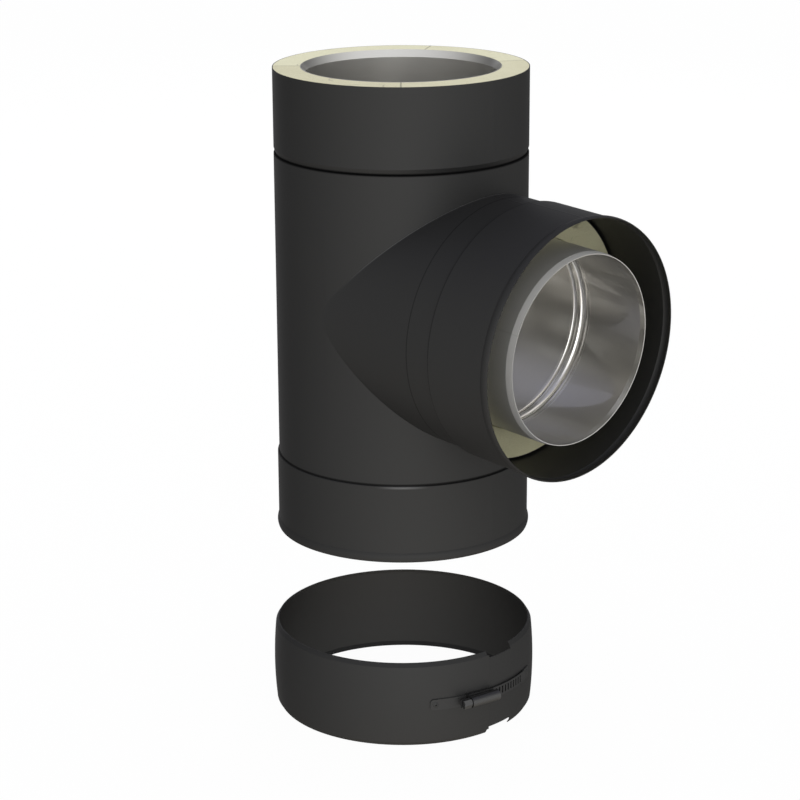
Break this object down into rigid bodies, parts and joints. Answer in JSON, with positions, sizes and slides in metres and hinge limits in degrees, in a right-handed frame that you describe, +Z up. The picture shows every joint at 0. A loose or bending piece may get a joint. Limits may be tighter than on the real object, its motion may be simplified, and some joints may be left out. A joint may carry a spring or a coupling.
{
  "type": "stove pipe tee",
  "caption": "Twin-walled insulated stove pipe tee with a slightly falling side branch, beaded sleeves and a loose locking band with a worm-screw closure.",
  "frame": {"origin": "centre of the lower sleeve's mouth, on the tee's axis", "axes": "+Z up along the main duct, +X towards the branch, which falls 3 degrees below it"},
  "size_m": [0.3055, 0.2142, 0.5277],
  "materials": {
    "black_steel": "fine matt black powder coat",
    "stainless_steel": "rolled stainless sheet with a faint brushed grain",
    "mineral_wool": "cut face of pale yellow mineral wool",
    "clip_steel": "dull plated steel strip and screw"
  },
  "bodies": {
    "tee": {"outer_casing": "black_steel", "branch_saddle": "black_steel", "branch_ring": "black_steel", "lower_sleeve": "black_steel", "branch_sleeve": "black_steel", "main_liner": "stainless_steel", "branch_liner": "stainless_steel", "wool_left": "mineral_wool", "wool_front": "mineral_wool", "wool_right": "mineral_wool", "wool_back": "mineral_wool", "branch_wool_upper": "mineral_wool", "branch_wool_lower": "mineral_wool"},
    "band": {"band_shell": "black_steel", "tail_strap": "clip_steel", "slotted_strap": "clip_steel", "tail_rivet": "clip_steel", "slotted_rivet": "clip_steel", "screw_housing": "clip_steel"},
    "screw": {"worm_screw": "clip_steel"}
  },
  "joints": [
    {"name": "band_slide", "type": "slide", "parent": "tee", "child": "band", "axis": [0, 0, 1], "range_m": [0, 0.115]},
    {"name": "worm_turn", "type": "hinge", "parent": "band", "child": "screw", "pos_m": [0.1111, -0.018, -0.11925], "axis": [0.1599, 0.9871, 0], "continuous": true}
  ]
}
